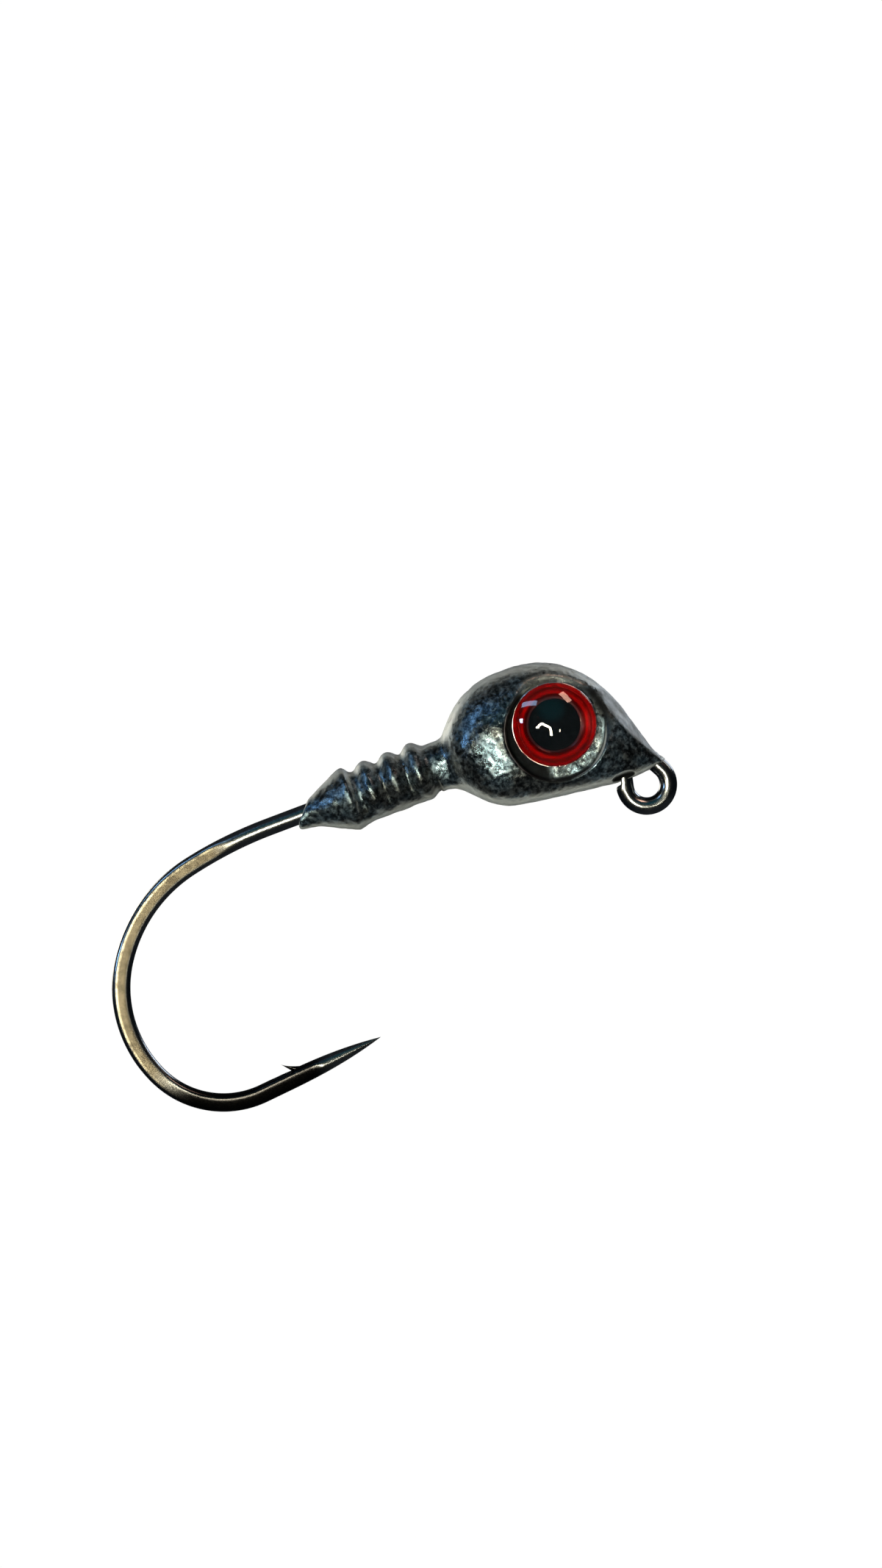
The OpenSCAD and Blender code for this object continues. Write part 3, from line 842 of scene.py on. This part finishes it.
def worked(made, scale, second, smooth, rough, relief):
    """Gives a plain material its grain: a second tone, a gloss that varies, and a fine relief.
    The scale is in grains per millimetre, and the relief in millimetres."""
    tree = made.node_tree
    shader = tree.nodes["Principled BSDF"]
    place = add(tree, "ShaderNodeTexCoord").outputs["Object"]
    mm = add(tree, "ShaderNodeVectorMath", {0: place, 1: TO_MM},
             operation="MULTIPLY").outputs[0]
    grain = add(tree, "ShaderNodeTexNoise", {"Vector": mm, "Scale": scale,
                                            "Detail": 4.0}).outputs["Fac"]
    first = list(shader.inputs["Base Color"].default_value)
    tone = add(tree, "ShaderNodeMix", {0: grain, 6: first, 7: linear(second)},
               data_type="RGBA").outputs[2]
    tree.links.new(tone, shader.inputs["Base Color"])
    gloss = add(tree, "ShaderNodeMapRange", {0: grain, 1: 0.3, 2: 0.7, 3: smooth, 4: rough}).outputs[0]
    tree.links.new(gloss, shader.inputs["Roughness"])
    bump = add(tree, "ShaderNodeBump", {"Height": grain, "Strength": 0.5, "Distance": relief * MM})
    tree.links.new(bump.outputs[0], shader.inputs["Normal"])
    return made


# Milky with trapped air: cloudy tone, soft dimpled gloss
glue = worked(plain("cured_glue_milky", glue_milk, 0.0, 0.55), 2.5, glue_shade, 0.35, 0.65, 0.05)
# Vacuum-metallised film pressed on a felt pad: bright, with a faint orange-peel
foil = worked(plain("metallised_foil_pressed", foil_silver, 1.0, 0.22), 5.0, foil_shade,
              0.15, 0.28, 0.01)
red = iris_print()
# Screen-printed ink: very dark, a trace of mesh in its gloss
black = worked(plain("black_ink_gloss", pupil_ink, 0.0, 0.3, Specular_IOR_Level=0.0), 7.0,
               pupil_worn, 0.25, 0.4, 0.01)
# Poured resin: water clear, its surface very slightly uneven
resin = worked(plain("clear_resin_domed", resin_clear, 0.0, 0.02, IOR=1.5,
                     Transmission_Weight=1.0), 0.8, resin_clear, 0.015, 0.03, 0.006)

for side, hand in ((1, "left"), (-1, "right")):
    pad = [(0.02, 0), (2.42, 0), (2.5, 0.03), (2.52, 0.07), (2.46, glue_top), (0.02, glue_top)]
    points, faces = closed_turning(pad, side)
    piece(hand + "_glue_pad", points, faces, glue, hand + "_eye_glue_pad")
    radii = np.linspace(0.02, 2.5, 40)
    top = [(r, foil_top + iris_lift(r)) for r in radii]
    rim = [(2.53, foil_top + dish_h + 0.17), (2.55, foil_top + dish_h + 0.1), (2.5, foil_top + 0.02)]
    under = [(2.4, glue_top + 0.01), (0.02, glue_top + 0.01)]
    points, faces = closed_turning((top + rim + under)[::-1], side)
    piece(hand + "_foil", points, faces, foil, hand + "_eye_foil")
    radii = np.linspace(pupil_r, eye_r - 0.01, 30)
    top = [(r, film_top + iris_lift(r)) for r in radii]
    under = [(r, foil_top + 0.012 + iris_lift(r)) for r in radii]
    ring = under + top[::-1] + under[:1]
    points, faces = turned(ring, side)
    piece(hand + "_iris", points, faces, red, hand + "_eye_iris")
    spot = [(0.02, foil_top + 0.012), (pupil_r - 0.01, foil_top + 0.012), (pupil_r, film_top - 0.005),
            (pupil_r - 0.02, film_top + 0.004), (0.02, film_top + 0.004)]
    points, faces = closed_turning(spot, side)
    piece(hand + "_pupil", points, faces, black, hand + "_eye_pupil")
    dome_r = (eye_r ** 2 + dome_h ** 2) / (2 * dome_h)
    sweep = np.linspace(0, math.asin(eye_r / dome_r), 40)
    dome = [(max(dome_r * math.sin(a), 0.004), lens_edge + dome_h - dome_r * (1 - math.cos(a)))
            for a in sweep]
    wall = [(eye_r + 0.012, lens_edge - 0.05), (eye_r + 0.008, 0.25), (eye_r - 0.03, foil_top + 0.01)]
    base = [(0.02, foil_top + 0.005)]
    points, faces = closed_turning((dome + wall + base)[::-1], side)
    drop = piece(hand + "_lens", points, faces, resin, hand + "_eye_lens")
    drop.visible_shadow = False


# ---- Floor, light and camera ----
# A seamless pale sweep all round, which lights the part but shows in no gloss. The gloss shows a
# dim room, a patch of blue sky, a warm curved lamp, and soft lamps to the sides and behind.
sweep_sides = 96
sweep_centre_x = -0.0166
eye_at = np.array([eye_x, -3.5, eye_z]) * MM


def sweep_mesh():
    """A floor that curves up into round walls, in metres."""
    profile = [(0.0005, -0.11)] + [(r, -0.11) for r in np.linspace(0.05, 0.3, 6)]
    profile += [(0.3 + 0.25 * math.sin(a), -0.11 + 0.25 * (1 - math.cos(a)))
                for a in np.linspace(0.1, math.pi / 2, 16)]
    profile += [(0.55, 0.3), (0.5, 0.5)]
    angles = np.linspace(0, 2 * math.pi, sweep_sides, endpoint=False)
    rows = [np.stack([sweep_centre_x + r * np.cos(angles), r * np.sin(angles),
                      np.full(sweep_sides, h)], 1) for r, h in profile]
    return np.vstack(rows), joined(len(profile), sweep_sides)


def stage_piece(name, points, faces, material):
    made = shaded(name, points, faces, material)
    return made


def glowing(name, code, strength):
    """Gives light of its own. Only a bright one is sampled as a lamp; a dim one costs no time."""
    made = bpy.data.materials.new(name)
    made.use_nodes = True
    tree = made.node_tree
    tree.nodes.remove(tree.nodes["Principled BSDF"])
    glow = add(tree, "ShaderNodeEmission", {"Color": linear(code), "Strength": strength})
    tree.links.new(glow.outputs[0], tree.nodes["Material Output"].inputs["Surface"])
    made.cycles.emission_sampling = "NONE" if strength < 5 else "AUTO"
    return made


paper = glowing("matt_white_paper", "#fdfdfc", 1.03)
sweep = stage_piece("pale_sweep", *sweep_mesh(), paper)
sweep.visible_glossy = False

world = bpy.data.worlds.new("soft_room")
bpy.context.scene.world = world
world.use_nodes = True
room = world.node_tree
backdrop = room.nodes["Background"]
toward = add(room, "ShaderNodeTexCoord").outputs["Generated"]
upward = add(room, "ShaderNodeSeparateXYZ", {0: toward}).outputs["Z"]
above = add(room, "ShaderNodeMapRange", {0: upward, 1: 0.55, 2: 0.85, 3: 0.0, 4: 0.05},
            interpolation_type="SMOOTHSTEP").outputs[0]
below = add(room, "ShaderNodeMapRange", {0: upward, 1: -0.45, 2: -0.85, 3: 0.0, 4: 0.05},
            interpolation_type="SMOOTHSTEP").outputs[0]
open_part = add(room, "ShaderNodeMath", {0: above, 1: below}, operation="ADD").outputs[0]
tint = add(room, "ShaderNodeMix", {0: open_part, 6: linear("#1b2228"), 7: linear("#ffffff")},
           data_type="RGBA").outputs[2]
# The open sky in a window in front and above: a soft blue patch
sky_way = (0.09, -0.86, 0.50)
facing = add(room, "ShaderNodeVectorMath", {0: toward, 1: sky_way},
             operation="DOT_PRODUCT").outputs["Value"]
sky = add(room, "ShaderNodeMapRange", {0: facing, 1: 0.86, 2: 0.99, 3: 0.0, 4: 1.0},
          interpolation_type="SMOOTHSTEP").outputs[0]
tint = add(room, "ShaderNodeMix", {0: sky, 6: tint, 7: linear("#00707e")},
           data_type="RGBA").outputs[2]
room.links.new(tint, backdrop.inputs["Color"])
backdrop.inputs["Strength"].default_value = 1.0

lamp_sides = 12


def lamp_bar(name, spots, width, distance, code, strength):
    """A glowing curved tube, placed by the directions in which the eye sees it."""
    spots = np.array(spots, float)
    t = np.linspace(0, len(spots) - 1, 30)
    line = np.stack([np.interp(t, range(len(spots)), spots[:, i]) for i in range(2)], 1)
    for _ in range(6):
        line[1:-1] = (line[:-2] + 2 * line[1:-1] + line[2:]) / 4
    aim = np.stack([line[:, 0], -np.sqrt(1 - (line ** 2).sum(1)), line[:, 1]], 1)
    centre = eye_at + aim * distance
    rows = []
    for k in range(len(centre)):
        ahead = centre[min(k + 1, len(centre) - 1)] - centre[max(k - 1, 0)]
        ahead /= np.linalg.norm(ahead)
        out = aim[k]
        across = np.cross(ahead, out)
        across /= np.linalg.norm(across)
        rows.append([centre[k] + width / 2 * (across * math.cos(a) + out * math.sin(a))
                     for a in np.linspace(0, 2 * math.pi, lamp_sides, endpoint=False)])
    points = np.vstack(rows)
    faces = joined(len(rows), lamp_sides)
    faces += [tuple(range(lamp_sides)),
              tuple(range(len(points) - 1, len(points) - 1 - lamp_sides, -1))]
    made = stage_piece(name, points, faces, glowing(name, code, strength))
    made.visible_camera = False
    return made


lamp_bar("warm_lamp", [(-0.535, 0.092), (-0.364, 0.197), (-0.133, -0.064), (-0.209, -0.298)],
         0.02, 0.3, "#fff2d2", 110.0)
lamp_bar("warm_spot", [(0.09, -0.24), (0.12, -0.256)], 0.02, 0.3, "#fff2d2", 90.0)


def area(name, aim, distance, wide, high, code, power):
    """A flat lamp that faces the eye, this far from it in metres, of this power in watts."""
    lamp = bpy.data.lights.new(name, "AREA")
    lamp.shape = "RECTANGLE"
    lamp.size, lamp.size_y = wide, high
    lamp.color = linear(code)[:3]
    lamp.energy = power
    made = bpy.data.objects.new(name, lamp)
    bpy.context.scene.collection.objects.link(made)
    aim = np.array(aim, float) / np.linalg.norm(aim)
    made.location = (eye_at + aim * distance).tolist()
    made.rotation_mode = "QUATERNION"
    made.rotation_quaternion = Vector((-aim).tolist()).to_track_quat("-Z", "Y")
    made.visible_camera = False
    return made


area("daylight_left", (-0.42, -0.45, 0.79), 0.4, 0.2, 0.06, "#8fbbe6", 0.4)
area("daylight_spot", (-0.79, -0.445, 0.42), 0.4, 0.045, 0.045, "#a8d4ff", 0.35)

area("warm_wall", (0.581, -0.531, 0.618), 0.4, 0.07, 0.15, "#ffc8ac", 0.4)
area("back_left", (-0.50, 0.80, 0.34), 0.42, 0.16, 0.16, "#fff6e6", 0.5)
area("back_right", (0.70, 0.66, 0.25), 0.42, 0.12, 0.16, "#eaf2ff", 0.5)
area("front_right", (0.93, 0.12, 0.35), 0.42, 0.10, 0.14, "#fff6e6", 0.2)

camera = bpy.data.cameras.new("camera")
camera.lens = 100
camera.sensor_width = 36
camera.clip_start = 0.01
camera.clip_end = 10
eye_point = bpy.data.objects.new("camera", camera)
bpy.context.scene.collection.objects.link(eye_point)
tilt = math.radians(20.7)
right = (math.cos(tilt), 0, -math.sin(tilt))
up = (math.sin(tilt), 0, math.cos(tilt))
back = (0, -1, 0)
turned_to = Matrix((right, up, back)).transposed().to_4x4()
turned_to.translation = (-0.01159, -0.2625, 0.0044)
eye_point.matrix_world = turned_to
bpy.context.scene.camera = eye_point
bpy.context.scene.view_settings.view_transform = "Standard"
